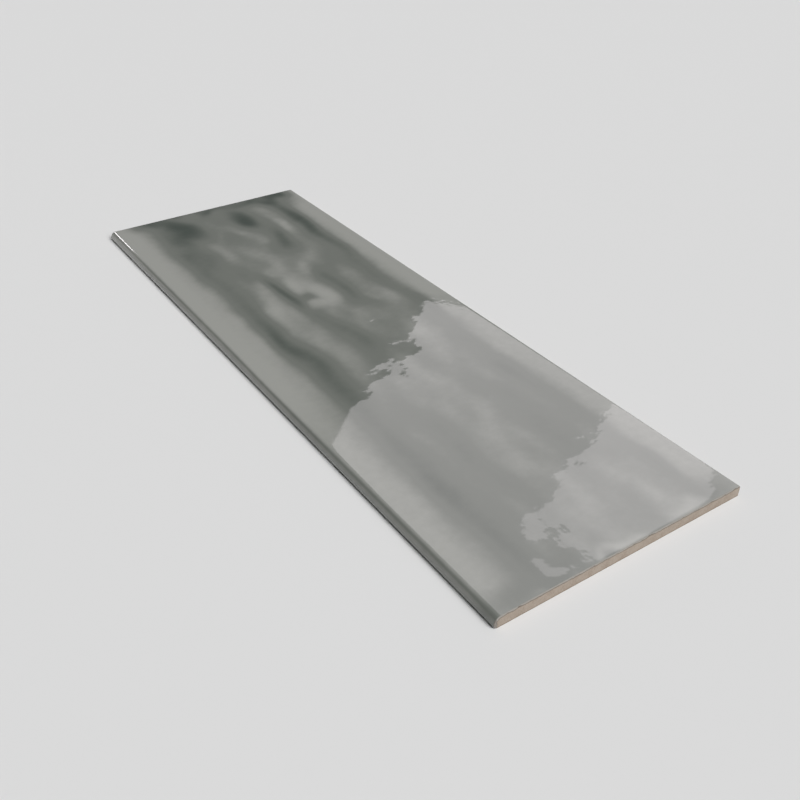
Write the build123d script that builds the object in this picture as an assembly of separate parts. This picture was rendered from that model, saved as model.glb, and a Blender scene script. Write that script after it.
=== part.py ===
from build123d import *
from math import exp
import os

# Glazed wall tile with one long edge rounded over, for the open end of a tiled area.
# It is one pressed and fired piece: glaze on the face and over the rounded edge, bare clay elsewhere.
# X runs from the rounded edge to the square edge, Y along the tile, Z from the back up to the face.
# The origin is at the middle of the back.

# Driving dimensions in millimetres

length = 600.0
width = 200.0
thickness = 8.4

# The rounded long edge: a full nose from the face, a short upright land and a smaller round to the back
nose_radius = 5.2
foot_land = 0.2
foot_radius = 3.0

# Small rounding of the other edges
arris_radius = 0.6

# A flat rim runs inside the rounded edges, and the undulating field swells in from it over the ramp
rim_width = 1.5
ramp_width = 10.0

# Keyed back: shallow sunk cells between ribs, inside a plain border
key_depth = 0.6
key_draft = 30.0
rib_width = 3.0
border_width = 9.0
cell_pitch = 31.0

# Spacing of the points that carry the undulating field
field_step = 6.0
field_tolerance = 0.003

# Long shallow hollows where the glaze pooled, each by its place across and along the tile,
# from -1 at one edge to 1 at the other, then its half width, half length and depth
hollows = [
    # beside the rounded edge, from the far end to the near end
    (-0.40, 0.80, 20.0, 50.0, 0.28),
    (-0.55, 0.12, 16.0, 90.0, 0.25),
    (-0.58, -0.58, 14.0, 80.0, 0.20),
    (-0.32, -0.88, 12.0, 16.0, 0.14),
    (-0.45, -0.95, 10.0, 14.0, 0.22),
    # along the middle
    (0.25, 0.66, 14.0, 60.0, 0.22),
    (-0.20, 0.36, 13.0, 50.0, 0.24),
    (0.22, -0.06, 18.0, 32.0, 0.42),
    (0.00, -0.13, 16.0, 38.0, 0.44),
    (-0.20, -0.56, 14.0, 66.0, 0.18),
    # beside the square edge
    (0.38, -0.56, 14.0, 60.0, 0.18),
    (0.70, 0.60, 13.0, 90.0, 0.26),
    (0.66, -0.40, 13.0, 70.0, 0.20),
    (0.62, -0.95, 16.0, 18.0, 0.14),
]

# The nose and the foot share the thickness, and each keeps room for the arrises of the ends
nose_room = thickness - foot_land - 2 * arris_radius
nose_round = min(nose_radius, nose_room)
foot_round = min(foot_radius, thickness - foot_land - nose_round)

# The undulating field, clear of the rounded edges by the rim
field_left = -width / 2 + nose_round + rim_width
field_right = width / 2 - arris_radius - rim_width
field_end = length / 2 - arris_radius - rim_width


def ramp_in(inset):
    """Share of the relief at a distance in from the rim: an S curve from 0 to 1 over the ramp."""
    share = min(1.0, max(0.0, inset / ramp_width))
    return share * share * (3.0 - 2.0 * share)


def field_height(x, y):
    """Height of the field over the back: the thickness, less the sum of the hollows inside the rim.

    Each hollow falls off across the tile as exp(-u^2) and, flatter along its middle, as exp(-v^4) along it.
    """
    inset_x = min(x - field_left, field_right - x)
    inset_y = field_end - abs(y)
    sunk = 0.0
    for across, along, half_width, half_length, depth in hollows:
        u = (x - across * width / 2) / half_width
        v = (y - along * length / 2) / half_length
        sunk += depth * exp(-u * u - v ** 4)
    return thickness - sunk * ramp_in(inset_x) * ramp_in(inset_y)


def even_steps(start, stop, step):
    """Evenly spaced places from start to stop, about one step apart."""
    count = round((stop - start) / step)
    return [start + (stop - start) * i / count for i in range(count + 1)]


# Pressed blank with its rounded long edge
blank = Pos(0, 0, thickness / 2) * Box(width, length, thickness)
nose_edge = blank.edges().filter_by(Axis.Y).group_by(Axis.Z)[-1].sort_by(Axis.X)[0]
blank = fillet(nose_edge, nose_round)
foot_edge = blank.edges().filter_by(Axis.Y).group_by(Axis.Z)[0].sort_by(Axis.X)[0]
blank = fillet(foot_edge, foot_round)

# Arrises of the two ends, all round but for their upright corners, and of the square long edge
end_faces = blank.faces().filter_by(Axis.Y)
end_outlines = [edge for face in end_faces for edge in face.edges()]
end_arrises = [edge for edge in end_outlines if edge.center().X < width / 2]
square_arrises = blank.edges().filter_by(Axis.Y).group_by(Axis.X)[-1]
blank = fillet(end_arrises + square_arrises, arris_radius)

# Keyed back, an even number of cells each way so that two ribs cross in the middle
columns = 2 * max(1, round((width - 2 * border_width) / cell_pitch / 2))
rows = 2 * max(1, round((length - 2 * border_width) / cell_pitch / 2))
column_pitch = (width - 2 * border_width + rib_width) / columns
row_pitch = (length - 2 * border_width + rib_width) / rows
cell = extrude(Rectangle(column_pitch - rib_width, row_pitch - rib_width), amount=key_depth, taper=key_draft)
blank -= [place * cell for place in GridLocations(column_pitch, row_pitch, columns, rows)]

# The face: the plain top is replaced by a flat rim and, inside it, one smooth undulating surface
across_places = even_steps(field_left, field_right, field_step)
along_places = even_steps(-field_end, field_end, field_step)
field_points = [[Vector(x, y, field_height(x, y)) for y in along_places] for x in across_places]
field = Face.make_surface_from_array_of_points(field_points, tol=field_tolerance)
plain_top = blank.faces().sort_by(Axis.Z)[-1]
rim = Face(plain_top.outer_wire(), [field.outer_wire()])
kept_faces = [face for face in blank.faces() if not face.is_same(plain_top)]
tile = Solid(Shell(kept_faces + [rim, field]))

os.makedirs("parts", exist_ok=True)
export_step(tile, "parts/bullnose_tile.step")
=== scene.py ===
"""Glazed bullnose tile: the fired piece with its undulating glaze, and the stage it is shown on."""

import math

import bpy
import numpy as np
from bpy.props import FloatProperty, FloatVectorProperty, PointerProperty
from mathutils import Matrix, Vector


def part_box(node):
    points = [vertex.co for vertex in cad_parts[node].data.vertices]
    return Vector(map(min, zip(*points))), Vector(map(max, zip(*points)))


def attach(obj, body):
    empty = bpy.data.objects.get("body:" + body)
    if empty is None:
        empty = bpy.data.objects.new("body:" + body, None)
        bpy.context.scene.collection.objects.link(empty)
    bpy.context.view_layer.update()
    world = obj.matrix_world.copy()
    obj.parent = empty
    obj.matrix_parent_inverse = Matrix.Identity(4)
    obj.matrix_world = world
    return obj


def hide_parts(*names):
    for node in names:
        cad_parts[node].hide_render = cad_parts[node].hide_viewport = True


bl_info = {
    "name": "Bullnose tile",
    "version": (1, 0, 0),
    "blender": (4, 5, 0),
    "location": "3D View > Sidebar > Tile",
    "description": "Builds a glazed bullnose wall tile and a plain stage for it",
    "category": "Object",
}

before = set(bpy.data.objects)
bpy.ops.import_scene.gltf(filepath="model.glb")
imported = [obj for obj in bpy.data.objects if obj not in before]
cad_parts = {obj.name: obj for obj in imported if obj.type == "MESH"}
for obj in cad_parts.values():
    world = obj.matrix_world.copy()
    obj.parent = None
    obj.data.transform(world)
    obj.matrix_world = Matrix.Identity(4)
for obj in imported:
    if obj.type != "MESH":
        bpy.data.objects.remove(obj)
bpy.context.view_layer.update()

NODE = "bullnose_tile"
BODY = "root"
TILE_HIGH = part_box(NODE)[1]
HALF_WIDTH = TILE_HIGH.x
HALF_LENGTH = TILE_HIGH.y
MM = 0.001

# Parts of the tile's skin, in the order in which the section runs round it; the arris that leads from the
# square edge back to the face comes last
FACE, NOSE, FOOT, BACK, SIDE = range(5)

# Steps of the skin: round the nose, its foot and the arrises of the square edge, up that edge, and round the
# arris of each end
NOSE_STEPS, FOOT_STEPS, BEND_STEPS, SIDE_STEPS, END_STEPS = 16, 8, 6, 3, 6

# Places that agree to this many decimals of a metre count as one
CLOSE_DIGITS = 7

# Edges of the skin that turn by more than this are shown sharp
SHARP_ANGLE = math.radians(28.0)

# Bands of thin glaze along the rounded and the square edge: how far in from the edge the glaze starts to
# deepen, and over what distance it reaches its usual depth
NOSE_BAND = (10.0 * MM, 32.0 * MM)
SQUARE_BAND = (9.0 * MM, 17.0 * MM)

# How squarely the ends of the hollows and of the streaks fall off
HOLLOW_SQUARENESS = 4.0
STREAK_SQUARENESS = 2.5

# Long shallow hollows of the face, as on the solid: place across and along the tile from -1 to 1,
# then half width, half length and depth in millimetres
HOLLOWS = [
    (-0.40, 0.80, 20.0, 50.0, 0.28),
    (-0.55, 0.12, 16.0, 90.0, 0.25),
    (-0.58, -0.58, 14.0, 80.0, 0.20),
    (-0.32, -0.88, 12.0, 16.0, 0.14),
    (-0.45, -0.95, 10.0, 14.0, 0.22),
    (0.25, 0.66, 14.0, 60.0, 0.22),
    (-0.20, 0.36, 13.0, 50.0, 0.24),
    (0.22, -0.06, 18.0, 32.0, 0.42),
    (0.00, -0.13, 16.0, 38.0, 0.44),
    (-0.20, -0.56, 14.0, 66.0, 0.18),
    (0.38, -0.56, 14.0, 60.0, 0.18),
    (0.70, 0.60, 13.0, 90.0, 0.26),
    (0.66, -0.40, 13.0, 70.0, 0.20),
    (0.62, -0.95, 16.0, 18.0, 0.14),
]

# Streaks where the fired glaze ran deep, or thin where the last number is negative: place as above,
# half width and half length in millimetres, then the change in the share of full depth
STREAKS = [
    (-0.36, 0.86, 15.0, 30.0, 0.54),
    (-0.31, 0.68, 10.0, 26.0, -0.18),
    (-0.54, 0.87, 10.0, 22.0, 0.16),
    (-0.52, 0.93, 14.0, 14.0, 0.18),
    (-0.53, 0.62, 16.0, 64.0, 0.40),
    (-0.50, 0.55, 10.0, 26.0, -0.20),
    (-0.55, 0.00, 10.0, 108.0, 0.38),
    (-0.59, -0.66, 16.0, 110.0, 0.24),
    (-0.72, -0.02, 7.0, 90.0, -0.13),
    (-0.45, 0.20, 8.0, 20.0, -0.22),
    (-0.48, 0.03, 8.0, 16.0, 0.09),
    (-0.62, 0.11, 8.0, 18.0, -0.14),
    (-0.66, 0.30, 7.0, 14.0, 0.09),
    (-0.63, 0.44, 7.0, 16.0, -0.08),
    (-0.36, 0.12, 9.0, 96.0, -0.13),
    (-0.28, 0.47, 8.0, 22.0, 0.19),
    (-0.08, 0.47, 8.0, 16.0, -0.10),
    (-0.27, 0.97, 10.0, 12.0, -0.13),
    (-0.12, 0.79, 9.0, 14.0, 0.07),
    (-0.09, 0.67, 8.0, 18.0, 0.17),
    (-0.16, 0.30, 5.5, 44.0, 0.42),
    (-0.03, 0.23, 6.0, 9.0, 0.18),
    (-0.02, 0.17, 8.0, 12.0, -0.18),
    (-0.06, 0.00, 10.0, 42.0, 0.30),
    (-0.08, 0.17, 7.0, 12.0, -0.12),
    (-0.08, -0.90, 12.0, 16.0, -0.09),
    (-0.23, -0.58, 12.0, 76.0, 0.20),
    (-0.02, 0.33, 7.0, 22.0, -0.22),
    (0.05, 0.30, 10.0, 100.0, -0.10),
    (0.06, -0.62, 20.0, 62.0, -0.09),
    (0.12, 0.25, 9.0, 34.0, -0.12),
    (0.17, 0.86, 13.0, 24.0, 0.40),
    (0.27, 0.40, 9.0, 16.0, -0.16),
    (0.02, 0.79, 9.0, 14.0, -0.12),
    (0.20, 0.13, 8.0, 16.0, 0.09),
    (0.20, 0.87, 10.0, 16.0, 0.18),
    (0.20, 0.60, 7.0, 18.0, 0.13),
    (0.33, 0.63, 9.0, 42.0, 0.36),
    (0.31, 0.27, 8.0, 46.0, 0.33),
    (0.37, 0.52, 10.0, 30.0, -0.18),
    (0.44, 0.73, 7.0, 20.0, -0.18),
    (0.44, 0.37, 7.0, 12.0, 0.09),
    (0.64, 0.17, 15.0, 26.0, -0.16),
    (0.40, 0.18, 8.0, 12.0, -0.10),
    (0.36, -0.84, 9.0, 12.0, -0.09),
    (0.40, -0.57, 11.0, 60.0, 0.20),
    (0.50, 0.84, 8.0, 24.0, -0.10),
    (0.56, 0.42, 8.0, 24.0, 0.10),
    (0.59, 0.76, 8.0, 18.0, 0.18),
    (0.69, 0.74, 9.5, 78.0, 0.46),
    (0.72, 0.22, 9.0, 84.0, 0.32),
    (0.68, -0.36, 10.0, 90.0, 0.16),
    (0.70, -0.82, 6.0, 22.0, 0.18),
    (0.79, 0.40, 8.0, 110.0, -0.12),
    (0.58, 0.95, 18.0, 16.0, 0.26),
    (0.64, 0.975, 9.0, 10.0, -0.24),
    (0.02, 0.98, 10.0, 8.0, 0.10),
    (0.80, -0.60, 8.0, 36.0, -0.09),
    (-0.32, 0.985, 24.0, 10.0, -0.12),
    (0.00, 1.00, 130.0, 17.0, 0.34),
    (0.00, -1.00, 130.0, 6.0, -0.16),
]

# Streaks over the thin glaze of the corners, in the same form
CORNER_STREAKS = [
    (0.86, 0.98, 10.0, 13.0, 0.48),
    (0.88, 0.91, 9.0, 14.0, 0.16),
    (0.81, 0.985, 10.0, 9.0, 0.18),
    # This streak darkens the right-front corner as painted shade, standing in for the darker reflection there
    (0.86, -0.97, 12.0, 12.0, 0.10),
    (-0.84, -0.98, 18.0, 11.0, 0.20),
    (-0.68, 0.99, 20.0, 12.0, 0.22),
]

# Panels that the glaze mirrors: the two points of the face between which their straight edge shows, how far
# they run on before and beyond these and back from the line, as mirrored on the face, then their height, all
# in metres, and their brightness
MIRRORED_PANELS = [
    ("wide_panel", (-0.092, -0.116), (0.077, 0.013), 0.20, 0.0, 0.34, 6.0, 1.9),
    ("near_panel", (-0.044, -0.256), (0.095, -0.189), 0.0, 0.10, 0.084, 5.8, 1.4),
]

# Strip lamp that shows as a line of light on the rounded edge: place, size, brightness and aim
STRIP_PLACE = (0.08, 6.4, 3.07)
STRIP_SIZE = (0.74, 0.6)
STRIP_LEVEL = 11.0
STRIP_AIM = (0.0, 0.2, 0.0)

# Half the side of the floor, in metres
FLOOR_REACH = 9.0


class TileShape(bpy.types.PropertyGroup):
    """Sizes of the tile's edges, relief and keyed back."""

    nose_radius: FloatProperty(
        name="Nose radius", description="Radius of the rounded long edge",
        default=5.2 * MM, unit="LENGTH")
    arris_radius: FloatProperty(
        name="Arris radius", description="Rounding of the other edges",
        default=0.6 * MM, unit="LENGTH")
    foot_radius: FloatProperty(
        name="Foot radius", description="Rounding from the nose to the back",
        default=3.0 * MM, unit="LENGTH")
    rim_width: FloatProperty(
        name="Rim width", description="Flat rim between the rounded edges and the undulating field",
        default=1.5 * MM, unit="LENGTH")
    ramp_width: FloatProperty(
        name="Ramp width", description="Distance over which the relief swells in from the rim",
        default=10.0 * MM, unit="LENGTH")
    ripple_height: FloatProperty(
        name="Ripple height", description="Height of the low ripple of the glaze",
        default=0.016 * MM, unit="LENGTH")
    ripple_reach: FloatProperty(
        name="Ripple reach", description="Distance over which the ripple grows in from the long edges",
        default=60.0 * MM, unit="LENGTH")
    ripple_end: FloatProperty(
        name="Ripple end", description="Distance over which the ripple grows in from the two ends",
        default=18.0 * MM, unit="LENGTH")
    shiver_share: FloatProperty(
        name="Shiver", description="Height of the shorter waves on the ripple, as a share of its own",
        default=0.16, min=0.0)
    key_depth: FloatProperty(
        name="Key depth", description="Depth of the sunk cells on the back",
        default=0.6 * MM, unit="LENGTH")
    key_draft: FloatProperty(
        name="Key draft", description="Slope of the cells' walls from upright",
        default=math.radians(30.0), subtype="ANGLE")
    rib_width: FloatProperty(
        name="Rib width", description="Width of the ribs between the cells",
        default=3.0 * MM, unit="LENGTH")
    border_width: FloatProperty(
        name="Border width", description="Plain border round the cells",
        default=9.0 * MM, unit="LENGTH")
    cell_pitch: FloatProperty(
        name="Cell pitch", description="Rough distance from cell to cell",
        default=31.0 * MM, unit="LENGTH")
    grid_step: FloatProperty(
        name="Grid step", description="Distance between the points of the face",
        default=1.5 * MM, unit="LENGTH")


class TileFinish(bpy.types.PropertyGroup):
    """Colours and gloss of the glaze and of the bare clay."""

    thin_colour: FloatVectorProperty(
        name="Thin glaze", description="Colour where the glaze is thin, along the edges and ridges",
        default=(0.340, 0.343, 0.321), subtype="COLOR", min=0.0, max=1.0)
    mid_colour: FloatVectorProperty(
        name="Glaze", description="Colour of the glaze at its usual depth",
        default=(0.168, 0.178, 0.161), subtype="COLOR", min=0.0, max=1.0)
    deep_colour: FloatVectorProperty(
        name="Pooled glaze", description="Colour where the glaze pooled deep",
        default=(0.056, 0.070, 0.060), subtype="COLOR", min=0.0, max=1.0)
    usual_depth: FloatProperty(
        name="Glaze depth", description="Usual share of the full depth of glaze, away from the streaks",
        default=0.31, min=0.0, max=1.0, subtype="FACTOR")
    # Painted shade: this extra depth along the shoulder of the nose darkens the glaze there to stand in for the
    # dark room that the nose mirrors
    shoulder: FloatProperty(
        name="Shoulder depth", description="Further share of depth along the shoulder of the nose",
        default=0.28, min=0.0, max=1.0, subtype="FACTOR")
    # Painted shade: this extra depth along the foot of the nose darkens the glaze there to stand in for the contact
    # shadow
    painted_foot_shade: FloatProperty(
        name="Bead depth", description="Further share of depth in the bead along the foot of the nose",
        default=0.74, min=0.0, max=1.0, subtype="FACTOR")
    glaze_roughness: FloatProperty(
        name="Glaze roughness", description="Roughness of the fired glaze",
        default=0.03, min=0.0, max=1.0, subtype="FACTOR")
    fine_height: FloatProperty(
        name="Finest ripple", description="Height of the finest ripple of the glaze, too low to show as a form",
        default=0.016 * MM, unit="LENGTH")
    clay_colour: FloatVectorProperty(
        name="Clay", description="Colour of the bare fired clay",
        default=(0.310, 0.265, 0.222), subtype="COLOR", min=0.0, max=1.0)
    clay_dark: FloatVectorProperty(
        name="Clay specks", description="Colour of the darker grains and stains in the clay",
        default=(0.215, 0.170, 0.134), subtype="COLOR", min=0.0, max=1.0)
    lip_colour: FloatVectorProperty(
        name="Glaze lip", description="Colour of the thin edge of glaze that ran over onto the bare ends",
        default=(0.265, 0.250, 0.228), subtype="COLOR", min=0.0, max=1.0)
    line_colour: FloatVectorProperty(
        name="Lip line", description="Colour of the dark line where the glaze stops on the bare ends",
        default=(0.085, 0.066, 0.052), subtype="COLOR", min=0.0, max=1.0)
    lip_width: FloatProperty(
        name="Lip width", description="How far the glaze ran down from the face onto the bare ends",
        default=0.9 * MM, unit="LENGTH")
    lip_nose: FloatProperty(
        name="Lip at the nose", description="How far the glaze ran round from the nose onto the bare ends",
        default=1.8 * MM, unit="LENGTH")


class StageSettings(bpy.types.PropertyGroup):
    """Floor, lamps and camera."""

    floor_colour: FloatVectorProperty(
        name="Floor", description="Colour of the plain floor",
        default=(0.752, 0.752, 0.752), subtype="COLOR", min=0.0, max=1.0)
    room_level: FloatProperty(
        name="Room light", description="Brightness of the even light all round",
        default=0.16, min=0.0)
    dark_level: FloatProperty(
        name="Dark side", description="Brightness of the room beside the rounded edge",
        default=0.07, min=0.0)
    backdrop_level: FloatProperty(
        name="Backdrop", description="Further brightness of the room low down beyond the far end",
        default=0.5, min=0.0)
    key_level: FloatProperty(
        name="Key light", description="Light that the soft key lamp adds on the floor",
        default=0.80, min=0.0)
    key_way: FloatVectorProperty(
        name="Key direction", description="Direction from the tile towards the key lamp",
        default=(0.07, -0.70, 0.62), subtype="DIRECTION")
    key_spread: FloatProperty(
        name="Key spread", description="Angle across the soft key lamp",
        default=math.radians(40.0), subtype="ANGLE")
    panel_colour: FloatVectorProperty(
        name="Panel colour", description="Tint of the lamps that the glaze mirrors",
        default=(1.0, 0.95, 0.975), subtype="COLOR", min=0.0, max=1.0)
    camera_place: FloatVectorProperty(
        name="Camera place", description="Where the camera stands",
        default=(-0.3327, -0.5551, 0.3868), subtype="TRANSLATION", unit="LENGTH")
    camera_heading: FloatProperty(
        name="Camera heading", description="Turn of the view from straight along the tile",
        default=math.radians(-33.929), subtype="ANGLE")
    camera_tilt: FloatProperty(
        name="Camera tilt", description="How far the camera looks down from level",
        default=math.radians(34.538), subtype="ANGLE")
    lens: FloatProperty(
        name="Lens", description="Focal length on a 36 mm sensor, in millimetres",
        default=41.57)


# Surface of the tile

def smooth_ramp(inset, reach):
    """S curve from 0 at the line to 1 at the reach inside it."""
    share = np.clip(inset / reach, 0.0, 1.0)
    return share * share * (3.0 - 2.0 * share)


def wave_noise(x, y, seed, count, across, along):
    """Sum of plane waves with chance directions and phases, about 1 high.

    Their mean wavelengths are across the tile and along it.
    """
    draw = np.random.default_rng(seed)
    turn_x = draw.normal(0.0, 2.0 * math.pi / across, count)
    turn_y = draw.normal(0.0, 2.0 * math.pi / along, count)
    phase = draw.uniform(0.0, 2.0 * math.pi, count)
    waves = np.cos(x[..., None] * turn_x + y[..., None] * turn_y + phase)
    return waves.sum(axis=-1) * math.sqrt(2.0 / count)


def bell_sum(rows, x, y, squareness):
    """Sum of long bells, each falling off across the tile as exp(-u^2) and along it as exp(-v^squareness)."""
    total = np.zeros_like(x)
    for across, along, half_width, half_length, size in rows:
        u = (x - across * HALF_WIDTH) / (half_width * MM)
        v = (y - along * HALF_LENGTH) / (half_length * MM)
        total += size * np.exp(-u * u - np.abs(v) ** squareness)
    return total


def relief(x, y, shape):
    """How far the face lies under its rim: the hollows and a low ripple, faded out at the rim."""
    left = -HALF_WIDTH + shape.nose_radius + shape.rim_width
    right = HALF_WIDTH - shape.arris_radius - shape.rim_width
    end = HALF_LENGTH - shape.arris_radius - shape.rim_width
    inset_x = np.minimum(x - left, right - x)
    inset_y = end - np.abs(y)
    fade = smooth_ramp(inset_x, shape.ramp_width) * smooth_ramp(inset_y, shape.ramp_width)
    ripple = wave_noise(x, y, seed=14, count=60, across=26.0 * MM, along=30.0 * MM)
    shiver = wave_noise(x, y, seed=12, count=60, across=10.0 * MM, along=11.0 * MM)
    calm = smooth_ramp(inset_x, shape.ripple_reach) * smooth_ramp(inset_y, shape.ripple_end)
    rough = np.maximum(0.0, 2.0 + ripple + shape.shiver_share * shiver)
    return fade * MM * bell_sum(HOLLOWS, x, y, HOLLOW_SQUARENESS) + calm * shape.ripple_height * rough


def glaze_depth_and_shade(x, y, finish):
    """Share of full glaze depth, 0 thin to 1 pooled.

    The usual depth, deeper towards the near end, plus the streaks on slightly bent coordinates and two faint
    chance waves; towards the long edges it passes over to the thin glaze of the nose and of the square edge. The
    corner streaks come on top, one of them painted shade at the right-front corner.
    """
    bent_x = x + 2.5 * MM * wave_noise(x, y, seed=31, count=24, across=120.0 * MM, along=150.0 * MM)
    bent_y = y + 5.0 * MM * wave_noise(x, y, seed=32, count=24, across=50.0 * MM, along=150.0 * MM)
    runs = 0.02 * wave_noise(x, y, seed=21, count=48, across=40.0 * MM, along=300.0 * MM)
    clouds = 0.03 * wave_noise(x, y, seed=22, count=48, across=44.0 * MM, along=90.0 * MM)
    near = smooth_ramp(-20.0 * MM - y, 115.0 * MM)
    beside = smooth_ramp(40.0 * MM - y, 60.0 * MM)
    streaks = bell_sum(STREAKS, bent_x, bent_y, STREAK_SQUARENESS)
    depth = finish.usual_depth + 0.02 * near + streaks + runs + clouds
    nose_thin = 0.02 + 0.13 * near
    square_thin = 0.04 + 0.16 * beside
    nose_start, nose_reach = NOSE_BAND
    square_start, square_reach = SQUARE_BAND
    depth = nose_thin + (depth - nose_thin) * smooth_ramp(x + HALF_WIDTH - nose_start, nose_reach)
    depth = square_thin + (depth - square_thin) * smooth_ramp(HALF_WIDTH - square_start - x, square_reach)
    return depth + bell_sum(CORNER_STREAKS, x, y, STREAK_SQUARENESS)


def nose_painted_shade(y, z, finish):
    """Painted shade on the nose, as further glaze depth: two bells by height.

    The band along the shoulder stands in for the dark room that the nose mirrors there; away from the near end it
    deepens and then climbs. The line along the foot stands in for the contact shadow. Below the shoulder the colour
    is also a little darker than at the face, more so away from the near end. The shoulder band and this darker
    colour both grow less at the far end.
    """
    deepen = smooth_ramp(y + 140.0 * MM, 80.0 * MM)
    climb = smooth_ramp(y + 50.0 * MM, 110.0 * MM)
    far = smooth_ramp(y - 190.0 * MM, 60.0 * MM)
    drop = TILE_HIGH.z - z
    shoulder_drop, shoulder_width = (1.1 - 0.3 * climb) * MM, 0.65 * MM
    foot_shade_height, foot_shade_width = 1.2 * MM, 0.9 * MM
    shoulder = (drop - shoulder_drop) / shoulder_width
    foot = (z - foot_shade_height) / foot_shade_width
    shoulder_shade = finish.shoulder * (0.85 + 0.33 * deepen - 0.3 * far) * np.exp(-shoulder * shoulder)
    under_shoulder = (0.04 + 0.07 * deepen) * (1.0 - far) * smooth_ramp(drop - 0.8 * MM, 2.0 * MM)
    return shoulder_shade + under_shoulder + finish.painted_foot_shade * np.exp(-foot * foot)


def even_steps(start, stop, step):
    """Evenly spaced places from start to stop, about one step apart."""
    return np.linspace(start, stop, max(2, round((stop - start) / step) + 1))


def key_cells(half_extent, shape):
    """Number of cells in one direction of the back, their pitch, and the width of their sloped walls."""
    count = 2 * max(1, round((half_extent - shape.border_width) / shape.cell_pitch))
    pitch = (2.0 * (half_extent - shape.border_width) + shape.rib_width) / count
    wall = shape.key_depth * math.tan(shape.key_draft)
    return count, pitch, wall


def key_profile(place, half_extent, shape):
    """Share of the key depth along one direction of the back: a row of flat cells with sloped walls.

    It is 0 on the border and the ribs and 1 on the cells' floors.
    """
    _, pitch, wall = key_cells(half_extent, shape)
    offset = np.abs((place / pitch) % 1.0 - 0.5) * pitch
    share = np.clip((pitch / 2 - shape.rib_width / 2 - offset) / wall, 0.0, 1.0)
    keyed = half_extent - shape.border_width + 10.0 ** -CLOSE_DIGITS
    return np.where(np.abs(place) < keyed, share, 0.0)


def key_lines(half_extent, shape):
    """Places where the cells' walls start and end, in one direction of the back."""
    count, pitch, wall = key_cells(half_extent, shape)
    centres = (np.arange(count) - (count - 1) / 2) * pitch
    half_cell = (pitch - shape.rib_width) / 2
    edges = [centres - half_cell, centres - half_cell + wall, centres + half_cell - wall, centres + half_cell]
    return np.sort(np.concatenate(edges))


def section_stations(shape):
    """Stations round the section, seen from the front, as arrays.

    Each has its x and z, the direction x and z in which an end's arris draws it in, and its part of the
    skin. They run over the face from the square edge to the nose, down the nose and its foot, along the
    back, and up the square edge with its two arrises.
    """
    top = TILE_HIGH.z
    nose, foot, arris = shape.nose_radius, shape.foot_radius, shape.arris_radius
    face_x = even_steps(HALF_WIDTH - arris, -HALF_WIDTH + nose, -shape.grid_step)
    over = np.linspace(0.0, math.pi / 2, NOSE_STEPS + 1)[1:]
    under = np.linspace(0.0, math.pi / 2, FOOT_STEPS + 1)
    back_x = np.append(key_lines(HALF_WIDTH, shape), HALF_WIDTH - arris)
    bend = np.linspace(0.0, math.pi / 2, BEND_STEPS + 1)[1:]
    side_z = np.linspace(arris, top - arris, SIDE_STEPS + 1)[1:]
    flat, level, still = np.zeros_like(face_x), np.zeros_like(back_x), np.zeros_like(bend)
    pieces = [
        (face_x, flat + top, flat, flat - 1.0),
        (-HALF_WIDTH + nose - nose * np.sin(over), top - nose + nose * np.cos(over), np.sin(over), -np.cos(over)),
        (-HALF_WIDTH + foot - foot * np.cos(under), foot - foot * np.sin(under), np.cos(under), np.sin(under)),
        (back_x, level, level, level + 1.0),
        (np.append(HALF_WIDTH - arris + arris * np.sin(bend), HALF_WIDTH + 0.0 * side_z),
         np.append(arris - arris * np.cos(bend), side_z),
         np.append(still, 0.0 * side_z), np.append(np.cos(bend), 0.0 * side_z)),
        (HALF_WIDTH - arris + arris * np.cos(bend[:-1]), top - arris + arris * np.sin(bend[:-1]),
         still[:-1], -np.sin(bend[:-1])),
    ]
    x, z, draw_x, draw_z = (np.concatenate(column) for column in zip(*pieces))
    region = np.repeat(np.arange(len(pieces)), [len(piece[0]) for piece in pieces])
    return x, z, draw_x, draw_z, region


def tile_surface(shape, finish):
    """The tile's skin as a section carried along its length, as a grid of points.

    Returns the points as lines by stations by 3, each station's region and the depth of glaze at each point, which
    on the nose also carries painted shade.
    At both ends the section is drawn in along a quarter circle, which makes the arris.
    """
    x, z, draw_x, draw_z, region = section_stations(shape)
    arris = shape.arris_radius
    inner_end = HALF_LENGTH - arris
    plain = even_steps(-inner_end, inner_end, shape.grid_step)
    middle = np.unique(np.round(np.concatenate([plain, key_lines(HALF_LENGTH, shape)]), CLOSE_DIGITS))
    turn = np.linspace(0.0, math.pi / 2, END_STEPS + 1)[1:]
    out = inner_end + arris * np.sin(turn)
    drawn = arris * (1.0 - np.cos(turn))
    line_y = np.concatenate([-out[::-1], middle, out])
    line_draw = np.concatenate([drawn[::-1], np.zeros_like(middle), drawn])
    grid_x = x[None, :] + line_draw[:, None] * draw_x[None, :]
    grid_y = line_y[:, None] + np.zeros_like(x)[None, :]
    grid_z = z[None, :] + line_draw[:, None] * draw_z[None, :]
    on_face, on_back = region == FACE, region == BACK
    grid_z[:, on_face] -= relief(grid_x[:, on_face], grid_y[:, on_face], shape)
    key = key_profile(grid_x[:, on_back], HALF_WIDTH, shape) * key_profile(grid_y[:, on_back], HALF_LENGTH, shape)
    grid_z[:, on_back] += shape.key_depth * key
    depth = glaze_depth_and_shade(grid_x, grid_y, finish)
    on_nose = (region == NOSE) | (region == FOOT)
    # The nose's painted shade goes into the depth: a band along the shoulder and a line along the foot
    depth[:, on_nose] += nose_painted_shade(grid_y[:, on_nose], grid_z[:, on_nose], finish)
    return np.stack([grid_x, grid_y, grid_z], axis=-1), region, np.clip(depth, 0.0, 1.0)


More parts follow.
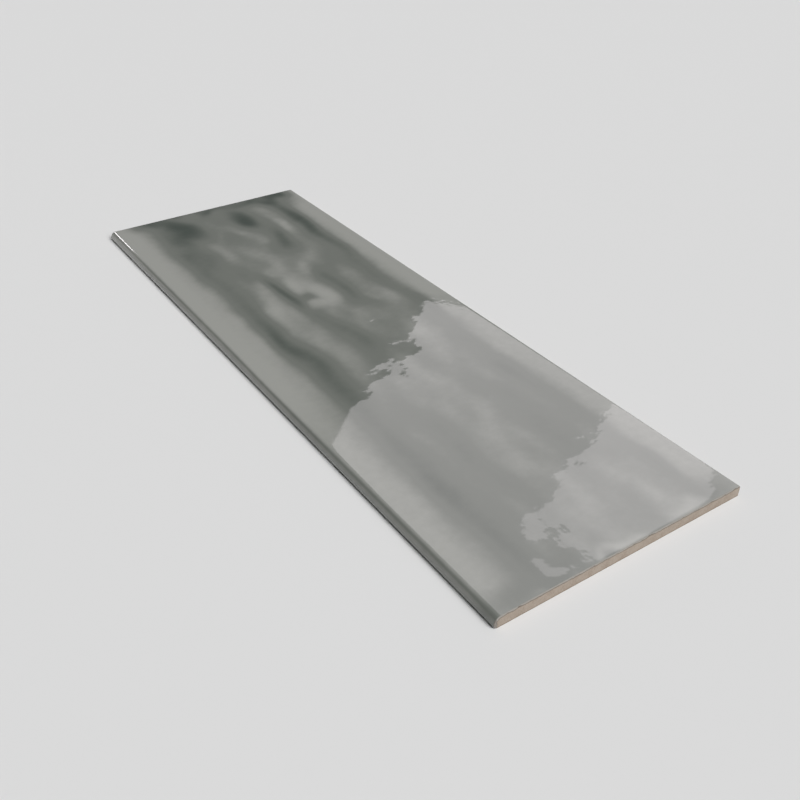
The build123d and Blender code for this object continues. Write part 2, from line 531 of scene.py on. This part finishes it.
def skin_mesh(points, region, depth):
    """Closed mesh of the skin: quads between lines and stations, and one flat face over each end."""
    lines, stations = points.shape[:2]
    index = np.arange(lines * stations).reshape(lines, stations)
    following = np.roll(index, -1, axis=1)
    quads = np.stack([index[:-1], index[1:], following[1:], following[:-1]], axis=-1).reshape(-1, 4)
    near_end, far_end = index[0], index[-1][::-1]
    corners = np.concatenate([quads.ravel(), near_end, far_end])
    starts = np.concatenate([np.arange(len(quads)) * 4, len(quads) * 4 + np.array([0, stations])])
    totals = np.concatenate([np.full(len(quads), 4), [stations, stations]])
    mesh = bpy.data.meshes.new(NODE)
    mesh.vertices.add(lines * stations)
    mesh.vertices.foreach_set("co", points.astype(np.float32).ravel())
    mesh.loops.add(len(corners))
    mesh.loops.foreach_set("vertex_index", corners.astype(np.int32))
    mesh.polygons.add(len(starts))
    mesh.polygons.foreach_set("loop_start", starts.astype(np.int32))
    mesh.polygons.foreach_set("loop_total", totals.astype(np.int32))
    beside = np.roll(region, -1)
    bare_strip = (region == BACK) | (beside == BACK) | ((region == SIDE) & (beside != FACE))
    end_strip = np.zeros(lines - 1, bool)
    end_strip[:END_STEPS] = end_strip[-END_STEPS:] = True
    bare = np.concatenate([(bare_strip[None, :] | end_strip[:, None]).ravel(), [True, True]])
    mesh.polygons.foreach_set("material_index", bare.astype(np.int32))
    mesh.update(calc_edges=True)
    mesh.validate()
    flat_ends = mesh.attributes.new("sharp_face", "BOOLEAN", "FACE")
    flat = np.zeros(len(starts), bool)
    flat[-2:] = True
    flat_ends.data.foreach_set("value", flat)
    mesh.set_sharp_from_angle(angle=SHARP_ANGLE)
    depth_and_shade = mesh.attributes.new("glaze_depth_and_shade", "FLOAT", "POINT")
    depth_and_shade.data.foreach_set("value", depth.astype(np.float32).ravel())
    return mesh


# Materials

def new_material(name):
    """A node material with its Principled shader, and its node tree."""
    material = bpy.data.materials.new(name)
    material.use_nodes = True
    tree = material.node_tree
    shader = tree.nodes["Principled BSDF"]
    return material, tree, shader


def noise_node(tree, vector, scale, detail, roughness):
    """Noise on the given coordinates, as a value from 0 to 1."""
    node = tree.nodes.new("ShaderNodeTexNoise")
    node.inputs["Scale"].default_value = scale
    node.inputs["Detail"].default_value = detail
    node.inputs["Roughness"].default_value = roughness
    tree.links.new(vector, node.inputs["Vector"])
    return node.outputs["Fac"]


def math_node(tree, operation, first, second):
    """Math node; each input is a socket or a number."""
    node = tree.nodes.new("ShaderNodeMath")
    node.operation = operation
    for socket, value in zip(node.inputs, (first, second)):
        if isinstance(value, bpy.types.NodeSocket):
            tree.links.new(value, socket)
        else:
            socket.default_value = value
    return node.outputs[0]


def swing_node(tree, chance, width):
    """A value from 0 to 1 as a swing about nothing, of the given width."""
    return math_node(tree, "MULTIPLY", math_node(tree, "SUBTRACT", chance, 0.5), width)


def split_node(tree, vector):
    """The x, y and z of a vector."""
    node = tree.nodes.new("ShaderNodeSeparateXYZ")
    tree.links.new(vector, node.inputs[0])
    return node.outputs


def range_node(tree, value, start, stop, low, high, curve="SMOOTHSTEP"):
    """The value taken from low at the start to high at the stop, by default along an S curve."""
    node = tree.nodes.new("ShaderNodeMapRange")
    node.interpolation_type = curve
    for name, level in (("From Min", start), ("From Max", stop), ("To Min", low), ("To Max", high)):
        node.inputs[name].default_value = level
    tree.links.new(value, node.inputs["Value"])
    return node.outputs["Result"]


def ramp_node(tree, value, stops, curve="LINEAR"):
    """Colour ramp of the value; each stop is its position and its colour, in rising order."""
    node = tree.nodes.new("ShaderNodeValToRGB")
    node.color_ramp.interpolation = curve
    elements = node.color_ramp.elements
    while len(elements) < len(stops):
        elements.new(0.5)
    for element, (position, colour) in zip(elements, stops):
        element.position = position
        element.color = (*colour, 1.0)
    tree.links.new(value, node.inputs["Fac"])
    return node.outputs["Color"]


def cover_node(tree, share, colour, cover_colour):
    """A colour covered by a fixed one where the share is 1."""
    node = tree.nodes.new("ShaderNodeMix")
    node.data_type = "RGBA"
    tree.links.new(share, node.inputs["Factor"])
    tree.links.new(colour, node.inputs["A"])
    node.inputs["B"].default_value = (*cover_colour, 1.0)
    return node.outputs["Result"]


def bump_node(tree, height, strength, distance):
    """Normal of a surface roughened by the height."""
    node = tree.nodes.new("ShaderNodeBump")
    node.inputs["Strength"].default_value = strength
    node.inputs["Distance"].default_value = distance
    tree.links.new(height, node.inputs["Height"])
    return node.outputs["Normal"]


def fine_level(tree, place):
    """Level of the finest ripple: none along the rounded edge, and about twice the usual at the near end."""
    x, y, _ = split_node(tree, place)
    across = range_node(tree, x, -75.0 * MM, -25.0 * MM, 0.0, 1.0)
    along = range_node(tree, y, -220.0 * MM, -140.0 * MM, 2.2, 1.0)
    return math_node(tree, "MULTIPLY", across, along)


def glaze_material(finish):
    """Glossy glaze whose colour deepens with its depth, faintly mottled, with the finest ripple as a bump. The
    depth also carries painted shade on the nose and at the right-front corner.
    """
    material, tree, shader = new_material("fired_glaze")
    place = tree.nodes.new("ShaderNodeTexCoord").outputs["Object"]
    depth_and_shade = tree.nodes.new("ShaderNodeAttribute")
    depth_and_shade.attribute_name = "glaze_depth_and_shade"
    mottle = swing_node(tree, noise_node(tree, place, 130.0, 4.0, 0.55), 0.10)
    depth = math_node(tree, "ADD", depth_and_shade.outputs["Fac"], mottle)
    stops = [(0.02, finish.thin_colour), (0.42, finish.mid_colour), (0.95, finish.deep_colour)]
    tree.links.new(ramp_node(tree, depth, stops, "EASE"), shader.inputs["Base Color"])
    shader.inputs["Roughness"].default_value = finish.glaze_roughness
    shader.inputs["IOR"].default_value = 1.52
    fine = math_node(tree, "MULTIPLY", noise_node(tree, place, 170.0, 1.0, 0.5), fine_level(tree, place))
    tree.links.new(bump_node(tree, fine, 1.0, finish.fine_height), shader.inputs["Normal"])
    return material


def lip_mask(tree, place, shape, finish):
    """The glaze that ran over onto the bare ends, 1 where it lies and else 0, and the dark line where it stops.

    It lies along the ends' edge with the face, measured from the axis of the nose, carried level below the
    face, and round the nose, measured level from it; both have the same chance swing. The line follows the
    edge of the glaze on both sides, and half of it tints the glaze that pooled round the nose.
    """
    x, _, z = split_node(tree, place)
    axis_x = -HALF_WIDTH + shape.nose_radius
    axis_z = TILE_HIGH.z - shape.nose_radius
    across = math_node(tree, "MAXIMUM", math_node(tree, "SUBTRACT", axis_x, x), 0.0)
    above = math_node(tree, "MAXIMUM", math_node(tree, "SUBTRACT", z, axis_z), 0.0)
    squares = math_node(tree, "ADD", math_node(tree, "MULTIPLY", across, across),
                        math_node(tree, "MULTIPLY", above, above))
    from_face = math_node(tree, "SUBTRACT", math_node(tree, "POWER", squares, 0.5),
                          shape.nose_radius - finish.lip_width)
    from_nose = math_node(tree, "SUBTRACT", -HALF_WIDTH + finish.lip_nose, x)
    swing = swing_node(tree, noise_node(tree, place, 130.0, 3.0, 0.6), 3.0 * MM)
    past = math_node(tree, "ADD", math_node(tree, "MAXIMUM", from_face, from_nose), swing)
    lip = range_node(tree, past, -0.1 * MM, 0.1 * MM, 0.0, 1.0, "LINEAR")
    line = range_node(tree, math_node(tree, "ABSOLUTE", past, 0.0), 0.15 * MM, 0.5 * MM, 0.8, 0.0)
    pooled = range_node(tree, from_nose, -0.3 * MM, 0.3 * MM, 0.0, 0.5)
    return lip, math_node(tree, "MAXIMUM", line, pooled)


def foot_shade_mask(tree, place):
    """1 along the foot of the bare ends and of the square edge, fading to 0 above it and on the back: where the
    clay gets its painted shade.
    """
    x, y, z = split_node(tree, place)
    past_end = math_node(tree, "SUBTRACT", math_node(tree, "ABSOLUTE", y, 0.0), HALF_LENGTH)
    past_side = math_node(tree, "SUBTRACT", x, HALF_WIDTH)
    outward = range_node(tree, math_node(tree, "MAXIMUM", past_end, past_side), -1.0 * MM, -0.5 * MM, 0.0, 1.0)
    low = range_node(tree, z, 0.5 * MM, 1.5 * MM, 1.0, 0.0)
    return math_node(tree, "MULTIPLY", outward, low)


def clay_material(shape, finish):
    """Bare fired clay: matt, grainy, with darker specks, painted shade along the foot and a lip of glaze on the
    ends.
    """
    material, tree, shader = new_material("bare_clay")
    place = tree.nodes.new("ShaderNodeTexCoord").outputs["Object"]
    grain = noise_node(tree, place, 900.0, 6.0, 0.65)
    cloud = noise_node(tree, place, 160.0, 3.0, 0.5)
    blend = math_node(tree, "ADD", math_node(tree, "MULTIPLY", grain, 0.6), math_node(tree, "MULTIPLY", cloud, 0.4))
    # Painted shade: the clay is pulled towards its dark colour along the foot, standing in for the contact shadow
    # there
    clay_foot_shade = math_node(tree, "MULTIPLY", foot_shade_mask(tree, place), 0.3)
    stops = [(0.32, finish.clay_dark), (0.56, finish.clay_colour)]
    clay = ramp_node(tree, math_node(tree, "SUBTRACT", blend, clay_foot_shade), stops)
    lip, line = lip_mask(tree, place, shape, finish)
    covered = cover_node(tree, lip, clay, finish.lip_colour)
    tree.links.new(cover_node(tree, line, covered, finish.line_colour), shader.inputs["Base Color"])
    gloss = math_node(tree, "SUBTRACT", 0.9, math_node(tree, "MULTIPLY", lip, 0.5))
    tree.links.new(gloss, shader.inputs["Roughness"])
    tree.links.new(bump_node(tree, grain, 0.35, 0.2 * MM), shader.inputs["Normal"])
    return material


def floor_material(stage):
    """Plain pale floor."""
    material, _, shader = new_material("pale_floor")
    shader.inputs["Base Color"].default_value = (*stage.floor_colour, 1.0)
    shader.inputs["Roughness"].default_value = 0.95
    shader.inputs["Specular IOR Level"].default_value = 0.1
    return material


# Stage

def lamp_panel(name, place, size, radiance, turn=0.0, aim=None):
    """Rectangular lamp panel that the glaze mirrors, of even brightness; it faces down, or towards the aim."""
    lamp = bpy.data.lights.new(name, "AREA")
    lamp.shape = "RECTANGLE"
    lamp.size, lamp.size_y = size
    lamp.energy = radiance * math.pi * size[0] * size[1]
    panel = bpy.data.objects.new(name, lamp)
    panel.location = place
    if aim is None:
        panel.rotation_euler = (0.0, 0.0, turn)
    else:
        panel.rotation_euler = (Vector(aim) - Vector(place)).to_track_quat("-Z", "Y").to_euler()
    panel.visible_camera = False
    panel.visible_diffuse = False
    bpy.context.collection.objects.link(panel)
    return panel


def mirrored_panel(eye, name, near_point, far_point, before, beyond, reach, height, radiance):
    """Level panel whose straight edge the face mirrors along the line between two points on it.

    A point of the face mirrors the spot on the panel's plane that lies from it as far as the camera lies the
    other way, in the ratio of their heights. The panel runs past the two spots by what is mirrored as before
    and beyond, and back from their line by what is mirrored as reach.
    """
    ratio = (height - TILE_HIGH.z) / (eye.z - TILE_HIGH.z)
    near_spot, far_spot = (Vector((x + (x - eye.x) * ratio, y + (y - eye.y) * ratio, height))
                           for x, y in (near_point, far_point))
    along = (far_spot - near_spot).normalized()
    back = Vector((along.y, -along.x, 0.0))
    start = near_spot - along * before * (1.0 + ratio)
    length = (far_spot - near_spot).length + (before + beyond) * (1.0 + ratio)
    depth = reach * (1.0 + ratio)
    centre = start + along * length / 2 + back * depth / 2
    return lamp_panel(name, centre, (length, depth), radiance, turn=math.atan2(along.y, along.x))


def soft_key(stage):
    """Soft key lamp so far off that it lights the whole floor evenly."""
    way = Vector(stage.key_way).normalized()
    lamp = bpy.data.lights.new("soft_key", "SUN")
    lamp.energy = stage.key_level * math.pi / way.z
    lamp.angle = stage.key_spread
    key = bpy.data.objects.new("soft_key", lamp)
    key.rotation_euler = (-way).to_track_quat("-Z", "Y").to_euler()
    key.visible_glossy = False
    bpy.context.collection.objects.link(key)


def room_world(stage):
    """Even light all round, falling off to a dark side beside the rounded edge, and a pale backdrop low ahead."""
    world = bpy.data.worlds.new("room")
    world.use_nodes = True
    tree = world.node_tree
    way_x, way_y, way_z = split_node(tree, tree.nodes.new("ShaderNodeTexCoord").outputs["Generated"])
    level = range_node(tree, way_x, -0.5, 0.1, stage.dark_level, stage.room_level)
    beside = range_node(tree, way_x, -0.56, -0.44, 0.0, stage.backdrop_level)
    ahead = range_node(tree, way_y, 0.0, 0.3, 0.0, 1.0)
    low = range_node(tree, way_z, 0.12, 0.28, 1.0, 0.0)
    backdrop = math_node(tree, "MULTIPLY", math_node(tree, "MULTIPLY", beside, ahead), low)
    tree.links.new(math_node(tree, "ADD", level, backdrop), tree.nodes["Background"].inputs["Color"])
    return world


class TILE_OT_build(bpy.types.Operator):
    """Build the tile with its glaze and bare clay, in place of the plain solid"""

    bl_idname = "tile.build"
    bl_label = "Build tile"

    def execute(self, context):
        shape = context.scene.tile_shape
        finish = context.scene.tile_finish
        mesh = skin_mesh(*tile_surface(shape, finish))
        mesh.materials.append(glaze_material(finish))
        mesh.materials.append(clay_material(shape, finish))
        tile = bpy.data.objects.new("glazed_tile", mesh)
        context.collection.objects.link(tile)
        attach(tile, BODY)
        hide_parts(NODE)
        return {"FINISHED"}


class TILE_OT_stage(bpy.types.Operator):
    """Set out the floor, the lamps and the camera"""

    bl_idname = "tile.stage"
    bl_label = "Set stage"

    def execute(self, context):
        stage = context.scene.tile_stage
        mesh = bpy.data.meshes.new("floor")
        corners = [(x * FLOOR_REACH, y * FLOOR_REACH, 0) for x, y in ((-1, -1), (1, -1), (1, 1), (-1, 1))]
        mesh.from_pydata(corners, [], [(0, 1, 2, 3)])
        mesh.materials.append(floor_material(stage))
        floor = bpy.data.objects.new("floor", mesh)
        context.collection.objects.link(floor)
        eye = Vector(stage.camera_place)
        panels = [mirrored_panel(eye, *row) for row in MIRRORED_PANELS]
        panels.append(lamp_panel("strip_lamp", STRIP_PLACE, STRIP_SIZE, STRIP_LEVEL, aim=STRIP_AIM))
        for panel in panels:
            panel.data.color = stage.panel_colour
        soft_key(stage)
        context.scene.world = room_world(stage)
        camera = bpy.data.cameras.new("camera")
        camera.sensor_width = 36.0
        camera.lens = stage.lens
        camera.clip_start = 0.01
        view = bpy.data.objects.new("camera", camera)
        view.location = stage.camera_place
        view.rotation_euler = (math.pi / 2 - stage.camera_tilt, 0.0, stage.camera_heading)
        context.collection.objects.link(view)
        context.scene.camera = view
        context.scene.view_settings.view_transform = "Standard"
        return {"FINISHED"}


class TILE_PT_panel(bpy.types.Panel):
    """Lists the steps and the main sizes and colours"""

    bl_idname = "TILE_PT_panel"
    bl_label = "Bullnose tile"
    bl_space_type = "VIEW_3D"
    bl_region_type = "UI"
    bl_category = "Tile"

    def draw(self, context):
        for group, operator in (("tile_shape", "tile.build"), ("tile_finish", None), ("tile_stage", "tile.stage")):
            settings = getattr(context.scene, group)
            column = self.layout.column(align=True)
            for name in settings.__annotations__:
                column.prop(settings, name)
            if operator:
                self.layout.operator(operator)


CLASSES = (TileShape, TileFinish, StageSettings, TILE_OT_build, TILE_OT_stage, TILE_PT_panel)


def register():
    """Register the classes and hang their settings on the scene."""
    for cls in CLASSES:
        bpy.utils.register_class(cls)
    bpy.types.Scene.tile_shape = PointerProperty(type=TileShape)
    bpy.types.Scene.tile_finish = PointerProperty(type=TileFinish)
    bpy.types.Scene.tile_stage = PointerProperty(type=StageSettings)


def unregister():
    """Take the settings and classes away again."""
    del bpy.types.Scene.tile_stage
    del bpy.types.Scene.tile_finish
    del bpy.types.Scene.tile_shape
    for cls in reversed(CLASSES):
        bpy.utils.unregister_class(cls)


def main():
    """Build the tile and its stage."""
    register()
    bpy.ops.tile.build()
    bpy.ops.tile.stage()
    bpy.context.view_layer.update()


if __name__ == "__main__":
    main()
